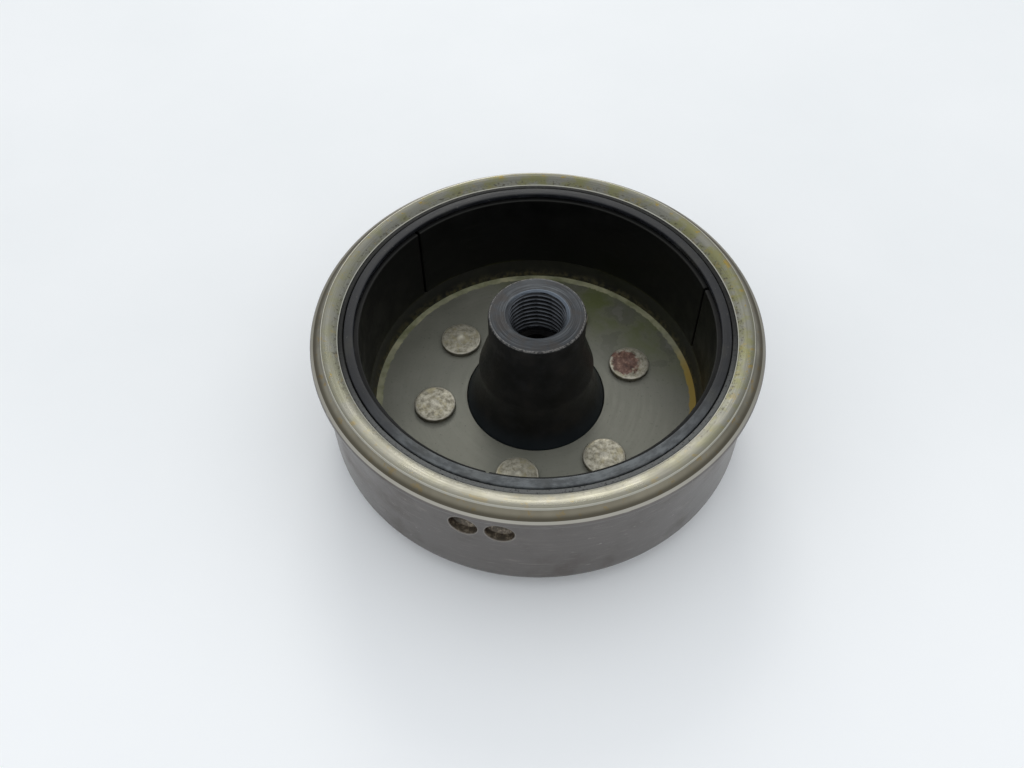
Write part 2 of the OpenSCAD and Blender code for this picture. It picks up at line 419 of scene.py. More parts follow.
def keyed_radius(profile_r, angles, middle, half_width, floor_height):
    """Radius of a round bore with a flat-floored keyway: floor height / cos b where the slot is as
    wide as the angle b from its middle, and the bore's own radius elsewhere."""
    b = np.radians((angles - middle + 180) % 360 - 180)
    floor = floor_height / np.cos(np.clip(b, -1, 1))
    inside_slot = (np.abs(b) < 1) & (np.abs(floor * np.sin(b)) <= half_width)
    return np.where(inside_slot, np.maximum(profile_r, floor), profile_r)


RIVET_ANGLES = (21, 71, 141, 191, 261, 311)
HUB_STEP = 2
hub_angles = 1 + np.arange(0, 360, HUB_STEP)
# two columns beside the keyway are turned so that its sides stand up straight
side = math.degrees(math.asin(KEY_HALF / KEY_FLOOR))
hub_turned = hub_angles.astype(float)
for sign in (-1, 1):
    edge = KEY_ANGLE + sign * side
    near = np.argsort(np.abs(hub_turned - edge))[:2]
    inner, outer = sorted(near, key=lambda j: abs(hub_turned[j] - KEY_ANGLE))
    hub_turned[inner], hub_turned[outer] = edge - sign * 0.02, edge + sign * 0.6

hub = turned(hub_rows, hub_turned)
radius = np.repeat(hub_rows[:, :1], len(hub_turned), 1)
first_thread = len(hub_rows) - len(hub_inside)
rows = slice(first_thread, first_thread + len(thread_z))
radius[rows] = thread_radius(hub_turned, hub_rows[rows, 1])
for row in np.flatnonzero((hub_rows[:, 0] < TAPER_R + 0.7) & (hub_rows[:, 1] < KEY_END_Z)):
    radius[row] = keyed_radius(hub_rows[row, 0], hub_turned, KEY_ANGLE, KEY_HALF, KEY_FLOOR)
around = np.radians(hub_turned)[None, :]
hub[:, :, 0], hub[:, :, 1] = radius * np.cos(around), radius * np.sin(around)
print("thread:", round((BOSS_Z - THREAD_END_Z) / PITCH, 1), "turns")

# %% [markdown]
# The flange's back face gets six countersinks for the rivets' closing heads. They are
# drilled into the lattice in the same way as the drum's wall, this time in a flat face.


# %% Hub mesh
def on_back_face(points):
    """Each point is laid onto the plane z = 0."""
    return points * [1, 1, 0]


PITCH_CIRCLE_R = 28.0
HALF_SINK = 6
face_rows = np.flatnonzero((np.abs(hub_rows[:, 1]) < 1e-6) & (hub_rows[:, 0] > SINK_BAND[0] - 0.1))
sink_rows = tuple(face_rows[np.argmin(np.abs(hub_rows[face_rows, 0] - r))] for r in SINK_BAND)
hub_blocks = []
for angle in RIVET_ANGLES:
    middle = (angle - 1) // HUB_STEP
    hub_blocks.append((sink_rows, (middle - HALF_SINK, middle + HALF_SINK)))
hub_shape = Shape()
cover_with_blocks_left_out(hub_shape, hub, hub_blocks)
for angle, block in zip(RIVET_ANGLES, hub_blocks):
    a = math.radians(angle)
    centre = np.array([PITCH_CIRCLE_R * math.cos(a), PITCH_CIRCLE_R * math.sin(a), 0])
    sink = [(5.2, 0), (4.9, 0.3), (3.6, 1.6), (3.0, 2.2), (3.0, 3.0)]
    drill(hub_shape, hub, *block, centre, (0, 0, -1), sink, on_back_face, 3.0, spread=2)
hub_forging = make_piece("hub_forging", hub_shape, ["hub"], crease=28)

# %% [markdown]
# ## Rivets
#
# Each rivet is a turned pin whose low domed head was pressed flat on a press, so no two
# heads are alike. Six copies of one mesh would look stamped. Here each head gets its own
# slight ovalness, tilt and dent from a seeded draw.

# %% Rivet profile
HEAD_R = 5.7
SHANK_R = 3.0
TAIL_R = 5.0
TAIL_Z = 0.2
HEAD_H = RIVET_TOP_Z - FLOOR_Z
dome_r = np.linspace(HEAD_R - 0.35, 1.3, 10)
dome = np.stack([dome_r, FLOOR_Z + HEAD_H - 0.16 * (dome_r / HEAD_R) ** 2.2], 1)
rivet_profile = run(
    (0.5, TAIL_Z),
    (2.5, TAIL_Z),
    (TAIL_R - 0.1, TAIL_Z),
    (TAIL_R, TAIL_Z + 0.08),
    (SHANK_R, 2.2),
    (SHANK_R, FLOOR_Z + 0.02),
    (HEAD_R - 0.18, FLOOR_Z + 0.02),
    (HEAD_R - 0.04, FLOOR_Z + 0.12),
    (HEAD_R, FLOOR_Z + 0.35),
    (HEAD_R, FLOOR_Z + HEAD_H - 0.55),
    arc((HEAD_R - 0.34, FLOOR_Z + HEAD_H - 0.5), 0.34, 12, 84, 6),
    dome,
    (0.9, FLOOR_Z + HEAD_H - 0.02),
    (0.6, FLOOR_Z + HEAD_H - 0.07),
    (0.3, FLOOR_Z + HEAD_H - 0.09),
)
print("rivet profile:", len(rivet_profile), "points")


# %% Rivet meshes
def rivet_shape(angle, seed):
    """A rivet about its own axis: r grows by 1 + e cos 2(t - p), and the head's top falls by a tilt
    that is linear in x and y and by a shallow dent exp(-distance^2 / width^2)."""
    draw = np.random.default_rng(seed)
    columns = 96
    lattice = turned(rivet_profile, np.arange(columns) * 360 / columns)
    x, y, z = lattice[..., 0], lattice[..., 1], lattice[..., 2]
    t, oval, phase = np.arctan2(y, x), draw.uniform(0.002, 0.008), draw.uniform(0, TURN)
    grow = 1 - oval * (1 - np.cos(2 * (t - phase)))
    x, y = x * grow, y * grow
    lean = draw.uniform(-0.008, 0.008, 2)
    spot = draw.uniform(-2.6, 2.6, 2)
    dent = 0.09 * np.exp(-((x - spot[0]) ** 2 + (y - spot[1]) ** 2) / 2.2)
    top = np.clip((z - FLOOR_Z - 0.8) / 0.5, 0, 1)
    z = z + top * (lean[0] * x + lean[1] * y - HEAD_R * np.linalg.norm(lean) - dent)
    a = math.radians(angle)
    moved = np.stack([x + PITCH_CIRCLE_R * math.cos(a), y + PITCH_CIRCLE_R * math.sin(a), z], 2)
    shape = Shape()
    shape.add(moved, cells(*moved.shape[:2], close_rows=False))
    axis = PITCH_CIRCLE_R * np.array([math.cos(a), math.sin(a)])
    shape.fan(moved[-1], [*axis, moved[-1, :, 2].mean()])
    shape.fan(moved[0][::-1], [*axis, TAIL_Z])
    return shape


RIVET_SEED = 40
rivets = []
for number, angle in enumerate(RIVET_ANGLES, 1):
    shape = rivet_shape(angle, RIVET_SEED + number)
    rivets.append(make_piece(f"rivet_head_{number}", shape, [f"rivet_{number}"]))

# %% [markdown]
# ## Magnets
#
# The magnets are three arcs of sintered ferrite with a thin black coating. They meet at
# narrow upright gaps. Each arc is a profile carried along part of a circle, and it shrinks
# over the last third of a millimetre so that its ends are rounded like its other edges.

# %% Magnet meshes
MAGNET_R = 45.0
MAGNET_GAP = 0.6
FIRST_GAP = 16.5
MAGNET_EDGE = 0.3
magnet_profile = run(
    arc((MAGNET_R + MAGNET_EDGE, MAGNET_LOW_Z + MAGNET_EDGE), MAGNET_EDGE, 180, 270, 5),
    (WALL_R, MAGNET_LOW_Z),
    (WALL_R, MAGNET_TOP_Z),
    arc((MAGNET_R + MAGNET_EDGE, MAGNET_TOP_Z - MAGNET_EDGE), MAGNET_EDGE, 90, 180, 5),
)


def magnet_shape(start, sweep):
    """The profile shrinks towards its middle by e (1 - sqrt(1 - (1 - s/e)^2)) at the arc distance s
    from an end, for s under the edge radius e, which draws a quarter circle."""
    length = math.radians(sweep) * MAGNET_R
    ease = MAGNET_EDGE * (1 - np.cos(np.linspace(0, math.pi / 2, 6)))
    between = np.linspace(MAGNET_EDGE, length - MAGNET_EDGE, 110)[1:-1]
    s = np.concatenate([ease, between, length - ease[::-1]])
    near = np.clip(1 - np.minimum(s, length - s) / MAGNET_EDGE, 0, 1)
    inset = MAGNET_EDGE * (1 - np.sqrt(1 - near**2))
    lattice = turned(magnet_profile, start + np.degrees(s / MAGNET_R))
    r = np.linalg.norm(lattice[..., :2], axis=2)
    towards = np.clip(r + inset, None, WALL_R) / r
    lattice[..., :2] *= np.where(r < WALL_R - 0.5, towards, 1)[..., None]
    middle = (MAGNET_LOW_Z + MAGNET_TOP_Z) / 2
    lattice[..., 2] -= np.sign(lattice[..., 2] - middle) * inset
    shape = Shape()
    shape.add(lattice, cells(*lattice.shape[:2], close_columns=False))
    n = len(magnet_profile)
    shape.add(lattice[:, 0], np.arange(n)[None])
    shape.add(lattice[:, -1], np.arange(n)[None, ::-1])
    return shape


gap_sweep = math.degrees(2 * math.asin(MAGNET_GAP / 2 / MAGNET_R))
magnets = []
for i in range(3):
    shape = magnet_shape(FIRST_GAP + 120 * i + gap_sweep / 2, 120 - gap_sweep)
    magnets.append(make_piece(f"magnet_arc_{i + 1}", shape, [f"magnet_{i + 1}"]))

# %% [markdown]
# ## The three rings
#
# A hollow-faced spacer in the drum's corner carries the magnets. A flat ring lies over
# them, and a narrow ring of potting resin closes the gap to the steel. Resin never sets
# dead level, so its top swells and sinks a little round the drum.

# %% Ring meshes
SEAT_FOOT_R = 44.1
SEAT_TOP_R = 45.6
SEAT_TOE = 0.5
RETAIN_IN_R = 46.2
SEAL_IN_R = 48.85
seat_rise, seat_run = MAGNET_LOW_Z - FLOOR_Z - SEAT_TOE, SEAT_TOP_R - SEAT_FOOT_R
SEAT_ARC_R = (seat_run**2 + seat_rise**2) / (2 * seat_run)
seat_angle = math.degrees(math.asin(seat_rise / SEAT_ARC_R))
seat_profile = run(
    (SEAT_FOOT_R, FLOOR_Z),
    (WALL_R, FLOOR_Z),
    (WALL_R, MAGNET_LOW_Z),
    arc((SEAT_TOP_R - SEAT_ARC_R, MAGNET_LOW_Z), SEAT_ARC_R, 0, -seat_angle, 12),
)


def band(inner, outer, low, high, edge):
    """A rectangle from one radius and height to another, with its corners rounded."""
    return softened(run((inner, low), (outer, low), (outer, high), (inner, high)), edge, 4)


def ring_shape(profile, sag, seed, columns=480):
    """A closed turned profile whose top half sinks by sag (1 + w) / 2, where w is the mean of
    three sines of 3, 7 and 17 times the angle, with seeded phases."""
    angles = np.arange(columns) * 360 / columns
    lattice = turned(profile, angles)
    phases = np.random.default_rng(seed).uniform(0, TURN, 3)
    turn = np.radians(angles)
    waves = np.mean([np.sin(turn * k + p) for k, p in zip((3, 7, 17), phases)], axis=0)
    low, high = profile[:, 1].min(), profile[:, 1].max()
    share = np.clip((profile[:, 1] - low) / (high - low) * 2 - 1, 0, 1)[:, None]
    lattice[..., 2] -= share * sag * (1 + waves) / 2
    shape = Shape()
    shape.add(lattice, cells(*lattice.shape[:2]))
    return shape


shape = ring_shape(seat_profile, 0, 1)
seat = make_piece("magnet_seat", shape, ["seat_ring"])
shape = ring_shape(band(RETAIN_IN_R, RETAIN_R, MAGNET_TOP_Z, RETAIN_Z, 0.34), 0.05, 2)
retainer = make_piece("magnet_retainer", shape, ["retaining_ring"])
shape = ring_shape(band(SEAL_IN_R, WALL_R, MAGNET_TOP_Z, SEAL_Z, 0.4), 0.12, 3)
seal = make_piece("potting_seal", shape, ["seal_ring"])

# %% [markdown]
# ## Nodes in one line
#
# A finish is a small program of nodes. Writing each node out takes five lines, so this
# helper adds one, sets its properties, and fills its sockets in order with numbers or
# with other nodes' outputs.


# %% Node helpers
class Finish:
    """A new material with a Principled shader, and short ways to add nodes to it."""

    def __init__(self, name, **fixed):
        self.material = bpy.data.materials.new(name)
        self.material.use_nodes = True
        self.tree = self.material.node_tree
        self.shader = self.tree.nodes["Principled BSDF"]
        for socket, value in fixed.items():
            self.shader.inputs[socket.replace("_", " ")].default_value = value

    def add(self, kind, *values, out=0, **properties):
        n = self.tree.nodes.new("ShaderNode" + kind)
        for key, value in properties.items():
            setattr(n, key, value)
        for socket, value in zip(n.inputs, values):
            if value is None:
                continue
            if isinstance(value, bpy.types.NodeSocket):
                self.tree.links.new(value, socket)
            else:
                socket.default_value = value
        return n.outputs[out]

    def math(self, operation, a, b=0.0, clamp=False):
        return self.add("Math", a, b, operation=operation, use_clamp=clamp)

    def times(self, a, b):
        return self.math("MULTIPLY", a, b)

    def plus(self, a, b):
        return self.math("ADD", a, b)

    def mix(self, share, a, b):
        return self.add("MixRGB", share, a, b, blend_type="MIX")

    def step(self, value, low, high, to_low=0.0, to_high=1.0):
        """Goes smoothly from to_low to to_high as the value goes from low to high."""
        ends = (low, high, to_low, to_high)
        return self.add("MapRange", value, *ends, interpolation_type="SMOOTHSTEP")

    def tint(self, tone, value, low, high, amount, colour):
        """The tone with a colour over it that comes in as the value goes from low to high."""
        return self.mix(self.step(value, low, high, 0.0, amount), tone, (*colour, 1))

    def over(self, tone, share, amount, colour):
        """The tone with a colour over it, by a share from 0 to 1 times the amount."""
        return self.mix(self.times(share, amount), tone, (*colour, 1))

    def both(self, *shares):
        """The product of shares from 0 to 1: all of them have to hold."""
        result = shares[0]
        for share in shares[1:]:
            result = self.times(result, share)
        return result

    def along(self, where, x, y):
        """How far a position lies along the level direction (x, y): their dot product."""
        return self.add("VectorMath", where, (x, y, 0), operation="DOT_PRODUCT", out=1)

    def within(self, value, low, high, soft):
        """1 between low and high, falling to 0 over the soft distance outside them."""
        rise = self.step(value, low - soft, low)
        fall = self.step(value, high, high + soft, 1.0, 0.0)
        return self.times(rise, fall)

    def noise(self, where, scale, detail=3.0, rough=0.55, warp=0.0):
        return self.add("TexNoise", where, None, scale, detail, rough, None, None, warp)

    def ramp(self, share, *stops):
        n = self.tree.nodes.new("ShaderNodeValToRGB")
        line = n.color_ramp
        while len(line.elements) < len(stops):
            line.elements.new(0.5)
        for element, (place, colour) in zip(line.elements, stops):
            element.position, element.color = place, (*colour, 1)
        self.tree.links.new(share, n.inputs[0])
        return n.outputs[0]

    def bump(self, *layers):
        """Tilts the normal by layers of (height, strength, depth in micrometres)."""
        normal = None
        for height, strength, depth in layers:
            n = self.tree.nodes.new("ShaderNodeBump")
            n.inputs["Strength"].default_value = strength
            n.inputs["Distance"].default_value = depth * 1e-6
            self.tree.links.new(height, n.inputs["Height"])
            if normal is not None:
                self.tree.links.new(normal, n.inputs["Normal"])
            normal = n.outputs[0]
        return normal

    def feed(self, **outputs):
        for socket, output in outputs.items():
            self.tree.links.new(output, self.shader.inputs[socket.replace("_", " ")])
        return self.material

    def place(self):
        """Sockets of the Object position, in millimetres: the vector, x, y, z, the distance r from
        the axis, and a turned position (x / r, y / r, 0) that runs once round the part."""
        spot = self.add("TexCoord", out=3)
        spot = self.add("VectorMath", spot, None, None, 1000.0, operation="SCALE")
        n = self.tree.nodes.new("ShaderNodeSeparateXYZ")
        self.tree.links.new(spot, n.inputs[0])
        x, y, z = n.outputs
        flat = self.add("CombineXYZ", x, y, 0.0)
        r = self.add("VectorMath", flat, operation="LENGTH", out=1)
        round_ = self.add("VectorMath", flat, operation="NORMALIZE")
        return spot, x, y, z, r, round_

    def lines(self, round_, across, wander, density, detail, rough):
        """Lathe lines: noise whose position changes slowly along the turn and fast across it."""
        slow = self.add("VectorMath", round_, None, None, wander, operation="SCALE")
        fast = self.add("CombineXYZ", 0.0, 0.0, self.times(across, density))
        where = self.add("VectorMath", slow, fast, operation="ADD")
        return self.noise(where, 1.0, detail, rough)


def paint(piece, material):
    piece.data.materials.clear()
    piece.data.materials.append(material)


print("node helpers ready")

# %% [markdown]
# ## Drum steel
#
# The drum is bare turned steel that has run in oil for years. Its wall is brown-grey and
# satin with fine lathe lines, its land is brighter and stained by dried oil, and its floor
# is a dull olive. One flat metal would miss all of that, and four materials would meet in
# hard lines. One material covers the whole drum here, and it tells the zones apart by their
# distance from the axis and their height.

# %% Zones of the drum
steel = Finish("drum_steel", Anisotropic=0.3, Coat_Weight=0.1, Coat_Roughness=0.3)
spot, x, y, z, r, round_ = steel.place()
across = steel.plus(r, z)
LAND_Z, COVE_Z, CREST_Z = 37.0, 35.8, 35.7
CREST_IN_R = 56.45


def above(height):
    """1 above a height and 0 below it, blended over a fifth of a millimetre."""
    return steel.step(z, height - 0.1, height + 0.1)


on_land = steel.both(steel.within(r, WALL_R - 0.2, CROWN_R - 0.03, 0.05), above(LAND_Z))
on_cove = steel.both(steel.within(r, CROWN_R, CREST_IN_R, 0.08), above(COVE_Z))
on_crest = steel.both(steel.within(r, CREST_IN_R, CREST_IN_R + 0.57, 0.1), above(CREST_Z))
on_floor = steel.both(
    steel.within(z, FLOOR_Z - 0.3, FLOOR_Z + 0.2, 0.1), steel.step(r, WALL_R - 0.1, WALL_R - 2.1)
)
lines_fine = steel.lines(round_, across, 1.5, 7.0, 4.0, 0.6)
lines_broad = steel.lines(round_, across, 2.2, 1.3, 3.0, 0.6)
blotch = steel.noise(spot, 0.07, 5.0, 0.6, 0.4)
smear = steel.lines(round_, across, 5.0, 0.35, 4.0, 0.6)
speck = steel.noise(spot, 1.4, 3.0, 0.7)
stain = steel.noise(spot, 0.16, 5.0, 0.62, 0.8)
amber = steel.step(steel.noise(spot, 0.42, 4.0, 0.7, 0.6), 0.57, 0.64)

# %% [markdown]
# The wall is the darkest skin: brown-grey, streaked along the lathe's cut, and crossed by
# handling scratches. A few long scratches run askew, so their noise is stretched along a
# tilted direction instead of round the drum. Painted shade darkens the wall towards its
# foot and on its near side, the side towards minus y, which the dot product with that
# direction finds. It stands in for the shadowed table that the wall reflects.

# %% The wall
near_side = steel.along(round_, -0.05, -1.0)
wall = steel.ramp(
    lines_broad,
    (0.3, (0.155, 0.145, 0.138)),
    (0.55, (0.208, 0.196, 0.188)),
    (0.75, (0.265, 0.250, 0.238)),
)
wall = steel.tint(wall, blotch, 0.52, 0.70, 0.55, (0.125, 0.102, 0.090))
# painted shade: the wall is darker on its near side
wall = steel.tint(wall, near_side, 0.5, 0.98, 0.5, (0.105, 0.094, 0.086))
wall = steel.tint(wall, smear, 0.58, 0.74, 0.4, (0.28, 0.262, 0.235))
fine_cut = steel.step(steel.lines(round_, across, 9.0, 11.0, 2.0, 0.5), 0.66, 0.72)
wall = steel.over(wall, fine_cut, 0.5, (0.46, 0.44, 0.41))
askew = steel.add("Mapping", spot, (0, 0, 0), (0.6, 0.3, 0.4), (0.05, 0.9, 1.6))
scratch = steel.step(steel.noise(askew, 1.0, 3.0, 0.5), 0.71, 0.735)
wall = steel.over(wall, scratch, 0.5, (0.50, 0.48, 0.45))
# painted shade: the wall darkens towards the bottom
wall = steel.tint(wall, z, 9.0, 3.5, 0.5, (0.10, 0.092, 0.088))
# painted shade: the foot is darkest on the near side
painted_foot_shade = steel.both(steel.step(z, 7.0, 2.5, 0.0, 0.8), steel.step(near_side, 0.3, 0.9))
wall = steel.mix(painted_foot_shade, wall, (0.05, 0.047, 0.046, 1))

# %% [markdown]
# The land shows dried oil: an olive film that is thickest on the far right, amber drops and
# runs by its outer edge, and dark specks by its inner one. Its two edges and the crest
# outside the cove are pale, partly rubbed wear and partly painted highlight. All of the rim
# is paler on the near side, which is a painted highlight, and the hollow of the cove holds painted
# shade.

# %% The rim
land = steel.ramp(
    lines_fine,
    (0.3, (0.126, 0.125, 0.106)),
    (0.55, (0.172, 0.171, 0.148)),
    (0.78, (0.24, 0.237, 0.206)),
)
side = steel.along(round_, 0.64, 0.77)
film = steel.both(steel.step(stain, 0.42, 0.60), steel.step(side, -1.0, 0.9, 0.35, 1.0))
land = steel.over(land, film, 0.8, (0.150, 0.149, 0.062))
drops = steel.both(amber, steel.math("ADD", steel.within(r, 53.0, 54.3, 0.4), 0.35, clamp=True))
land = steel.over(land, drops, 0.8, (0.22, 0.155, 0.02))
runs = steel.step(steel.lines(round_, across, 12.0, 0.12, 2.0, 0.5), 0.60, 0.66)
runs = steel.both(runs, steel.step(r, 52.6, 53.6), steel.step(stain, 0.40, 0.50))
land = steel.over(land, runs, 0.75, (0.25, 0.165, 0.02))
dirty = steel.both(steel.step(speck, 0.54, 0.62), steel.within(r, 50.2, 51.4, 0.5))
land = steel.over(land, dirty, 0.8, (0.06, 0.055, 0.04))
land = steel.tint(land, r, 53.2, 53.9, 0.45, (0.115, 0.11, 0.08))
# painted highlight: the land is paler on the near side
land = steel.tint(land, near_side, 0.35, 0.95, 0.5, (0.31, 0.295, 0.245))
cove = steel.ramp(smear, (0.35, (0.150, 0.138, 0.106)), (0.65, (0.24, 0.224, 0.176)))
cove = steel.over(cove, amber, 0.6, (0.24, 0.155, 0.03))
# painted highlight: the cove is paler on the near side
cove = steel.tint(cove, near_side, 0.3, 0.9, 0.35, (0.30, 0.27, 0.20))
# painted shade: the cove darkens towards the bottom of its hollow
cove = steel.tint(cove, r, 54.9, 56.0, 0.85, (0.070, 0.062, 0.045))
# the crest is paler than the land, partly rubbed wear and partly painted highlight
crest = steel.ramp(lines_broad, (0.35, (0.20, 0.19, 0.160)), (0.7, (0.32, 0.308, 0.265)))
# painted highlight: the crest is paler still on the near side
crest = steel.tint(crest, near_side, 0.1, 0.85, 0.6, (0.48, 0.46, 0.41))
# the land's two edges are pale, partly rubbed wear and partly painted highlight
edges = steel.plus(
    steel.within(r, CROWN_R - 0.12, CROWN_R + 0.12, 0.06),
    steel.within(r, WALL_R - 0.1, WALL_R + 0.22, 0.06),
)
wear_and_highlight = steel.both(edges, above(LAND_Z))

# %% [markdown]
# The floor is dull and even, so it is treated as an oxidised skin that is only partly
# metallic. Oil and dirt left a crust where the floor meets the magnet seat, amber on the
# right, and a green pool dried in the far right quarter, with a darker shore.

# %% The floor
floor = steel.ramp(
    blotch,
    (0.3, (0.195, 0.195, 0.158)),
    (0.6, (0.235, 0.233, 0.192)),
    (0.8, (0.268, 0.265, 0.222)),
)
floor = steel.tint(floor, lines_fine, 0.5, 0.8, 0.15, (0.30, 0.297, 0.255))
floor = steel.tint(floor, speck, 0.60, 0.74, 0.5, (0.065, 0.064, 0.05))
towards_pool = steel.along(spot, 0.55, 0.83)
pool = steel.both(steel.step(towards_pool, 20.0, 38.0), steel.step(blotch, 0.38, 0.6))
floor = steel.over(floor, pool, 0.8, (0.125, 0.15, 0.035))
shore = steel.both(steel.step(towards_pool, 18.0, 30.0), steel.within(blotch, 0.40, 0.455, 0.02))
floor = steel.over(floor, shore, 0.25, (0.055, 0.06, 0.02))
ragged = steel.plus(r, steel.times(steel.noise(spot, 0.6, 4.0, 0.6), 1.6))
crust = steel.both(steel.within(ragged, 43.3, 46.0, 0.25), on_floor)
crust_tone = steel.ramp(
    stain,
    (0.38, (0.20, 0.205, 0.11)),
    (0.50, (0.32, 0.32, 0.20)),
    (0.62, (0.42, 0.40, 0.25)),
)
right_side = steel.along(round_, 1.0, -0.12)
crust_tone = steel.mix(steel.step(right_side, 0.84, 0.98), crust_tone, (0.36, 0.25, 0.05, 1))
floor = steel.mix(steel.both(crust, steel.step(blotch, 0.3, 0.6, 0.6, 1.0)), floor, crust_tone)

tone = steel.mix(on_land, wall, land)
tone = steel.mix(on_cove, tone, cove)
tone = steel.mix(on_crest, tone, crest)
tone = steel.over(tone, wear_and_highlight, 0.7, (0.52, 0.51, 0.45))
tone = steel.mix(on_floor, tone, floor)

# %% [markdown]
# Inside the balance drillings the steel has rusted. A point is in a drilling when it is on
# the same side of the drum, nearer to the drill's axis than the drill's radius, and below
# the drum's skin. The distance from an axis is the length of the cross product with its
# direction.


# %% Rust in the drillings
def near_axis(finish, spot, angle, height):
    """Distance of each point from the level line at an angle and height: |(p - c) x a|."""
    a = math.radians(angle)
    from_line = finish.add("VectorMath", spot, (0, 0, height), operation="SUBTRACT")
    axis = (math.cos(a), math.sin(a), 0)
    beside = finish.add("VectorMath", from_line, axis, operation="CROSS_PRODUCT")
    return finish.add("VectorMath", beside, operation="LENGTH", out=1)


rust_grain = steel.noise(spot, 1.1, 4.0, 0.7)
rust = steel.ramp(
    rust_grain,
    (0.40, (0.014, 0.010, 0.007)),
    (0.52, (0.060, 0.042, 0.028)),
    (0.64, (0.27, 0.225, 0.17)),
)
# painted light: each drilling is paler on its lower side, as if lit, and darker above
rust = steel.tint(rust, z, DRILL_Z - 0.8, DRILL_Z - 3.4, 0.22, (0.40, 0.35, 0.27))
drilled = steel.times(r, 0.0)
for angle in DRILL_ANGLES:
    axis_distance = near_axis(steel, spot, angle, DRILL_Z)
    a = math.radians(angle)
    out_along = steel.along(spot, math.cos(a), math.sin(a))
    this_side = steel.step(out_along, 0.0, 1.0)
    in_hole = steel.both(
        this_side,
        steel.step(axis_distance, DRILL_R + 0.25, DRILL_R + 0.05),
        steel.step(r, DRUM_R, DRUM_R - 0.3),
        steel.step(r, WALL_R - 1.1, WALL_R - 0.1),
    )
    drilled = steel.math("MAXIMUM", drilled, in_hole)
    tone = steel.mix(in_hole, tone, rust)
    rim = steel.both(
        this_side,
        steel.within(axis_distance, DRILL_R - 0.1, DRILL_R + 0.25, 0.1),
        steel.step(r, DRUM_R - 0.35, DRUM_R - 0.05),
    )
    # painted highlight: a lighter ring round the drilling's mouth
    tone = steel.over(tone, rim, 0.35, (0.40, 0.37, 0.33))

# %% Gloss and relief of the drum
gloss = steel.plus(
    steel.step(lines_broad, 0.3, 0.7, 0.38, 0.50), steel.step(blotch, 0.4, 0.7, -0.04, 0.08)
)
gloss = steel.math("SUBTRACT", gloss, steel.times(on_land, 0.10))
gloss = steel.math("SUBTRACT", gloss, steel.times(on_crest, 0.06))
gloss = steel.plus(gloss, steel.times(on_floor, 0.06))
dull = steel.plus(steel.times(on_floor, 0.62), steel.times(crust, 0.38))
dull = steel.math("ADD", dull, steel.times(drilled, 0.6), clamp=True)
metal = steel.math("SUBTRACT", 1.0, dull)
relief = steel.bump((lines_fine, 0.4, 30), (lines_broad, 0.3, 50), (speck, 0.25, 50))
tangent = steel.add("Tangent", direction_type="RADIAL", axis="Z")
drum_steel = steel.feed(
    Base_Color=tone, Metallic=metal, Roughness=gloss, Normal=relief, Tangent=tangent
)
paint(rotor_drum, drum_steel)

# %% [markdown]
# ## Black oxide
#
# The hub is blackened steel. The finish is thin, so it is a dark metal and not a paint:
# its end face still shows lathe rings and a cold blue cast, its outer edge is pale, partly
# rubbed wear and partly a painted highlight, and its sides drink the light. The mouth's
# chamfer carries a painted blue highlight, brightest on the far side, and the thread's
# crests are paler than its roots.

# %% Hub finish
END_Z = 39.9
MOUTH_Z = 39.3
oxide = Finish("hub_black_oxide", Anisotropic=0.25, Coat_Weight=0.06, Coat_Roughness=0.35)
spot, x, y, z, r, round_ = oxide.place()
across = oxide.plus(r, z)
rings = oxide.lines(round_, across, 0.9, 5.0, 4.0, 0.65)
streak = oxide.lines(round_, across, 3.0, 0.5, 3.0, 0.6)
cloud = oxide.noise(spot, 0.16, 5.0, 0.6, 0.5)
grain = oxide.noise(spot, 1.8, 3.0, 0.7)
side = oxide.ramp(
    cloud,
    (0.35, (0.006, 0.006, 0.0065)),
    (0.52, (0.013, 0.013, 0.0135)),
    (0.68, (0.026, 0.024, 0.022)),
)
side = oxide.tint(side, streak, 0.52, 0.7, 0.4, (0.030, 0.031, 0.034))
side = oxide.tint(side, z, 12.0, 7.0, 0.7, (0.024, 0.033, 0.041))
end = oxide.ramp(
    rings,
    (0.34, (0.014, 0.015, 0.017)),
    (0.52, (0.036, 0.040, 0.045)),
    (0.68, (0.085, 0.092, 0.100)),
)
end = oxide.tint(end, cloud, 0.46, 0.62, 0.6, (0.046, 0.040, 0.036))
on_end = oxide.step(z, END_Z, END_Z + 0.1)
tone = oxide.mix(on_end, side, end)
# the end face's outer edge is pale, partly rubbed wear and partly a painted highlight
worn_edge_and_highlight = oxide.both(
    oxide.within(r, NECK_R - 0.5, NECK_R + 0.05, 0.12),
    oxide.step(z, END_Z - 0.4, END_Z - 0.1),
    oxide.step(grain, 0.40, 0.6),
)
tone = oxide.over(tone, worn_edge_and_highlight, 0.5, (0.26, 0.25, 0.235))
# painted highlight: the mouth's chamfer is bright blue on its far side
lit_side = oxide.along(round_, 0.5, 0.85)
painted_chamfer_highlight = oxide.both(
    oxide.within(r, MOUTH_R - 0.8, MOUTH_R + 0.15, 0.06),
    oxide.step(z, MOUTH_Z - 0.1, MOUTH_Z),
    oxide.step(lit_side, -0.3, 0.8, 0.15, 1.0),
)
tone = oxide.over(tone, painted_chamfer_highlight, 0.8, (0.12, 0.145, 0.18))
in_thread = oxide.both(
    oxide.step(r, MOUTH_R + 0.1, MOUTH_R - 0.05),
    oxide.step(z, SEAT_Z + 0.1, SEAT_Z + 0.4),
    oxide.step(z, MOUTH_Z, MOUTH_Z - 0.1),
)
crest = oxide.step(r, 7.55, 7.22)
thread_tone = oxide.mix(crest, (0.014, 0.015, 0.017, 1), (0.085, 0.092, 0.105, 1))
tone = oxide.mix(in_thread, tone, thread_tone)
gloss = oxide.plus(
    oxide.step(cloud, 0.3, 0.7, 0.38, 0.52), oxide.step(grain, 0.3, 0.7, -0.04, 0.06)
)
